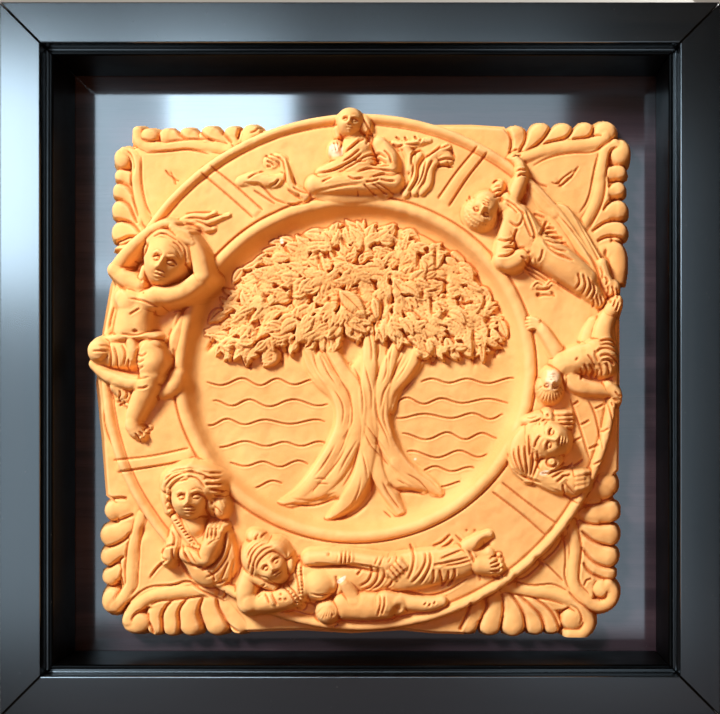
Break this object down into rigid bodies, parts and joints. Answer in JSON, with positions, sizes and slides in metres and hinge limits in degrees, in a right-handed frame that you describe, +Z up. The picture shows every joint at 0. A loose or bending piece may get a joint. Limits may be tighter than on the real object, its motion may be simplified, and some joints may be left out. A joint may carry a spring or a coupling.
{
  "type": "terracotta relief panel",
  "caption": "Square terracotta relief with a tree in a round dish, a ring of figures and leaf corners, set in a dark wooden box frame made to hang on a wall.",
  "frame": {"origin": "middle of the back, in the plane that lies against the wall", "axes": "+Y out of the back into the wall, so the relief faces -Y; +Z up; +X to the viewer's right"},
  "size_m": [0.457, 0.057, 0.453],
  "materials": {
    "terracotta": "unglazed fired clay, matt, brushed with a thin warm wash that is darker in the hollows",
    "rail_wood": "near-black stained wood with faint grain, satin",
    "liner_wood": "black stained thin boards, satin",
    "board_wood": "dark brown-black veneered board with a satin lacquer"
  },
  "bodies": {
    "root": {"rail_bottom": "rail_wood", "rail_left": "rail_wood", "rail_top": "rail_wood", "rail_right": "rail_wood", "liner_bottom": "liner_wood", "liner_left": "liner_wood", "liner_top": "liner_wood", "liner_right": "liner_wood", "back_board": "board_wood", "terracotta_relief": "terracotta"}
  },
  "joints": []
}
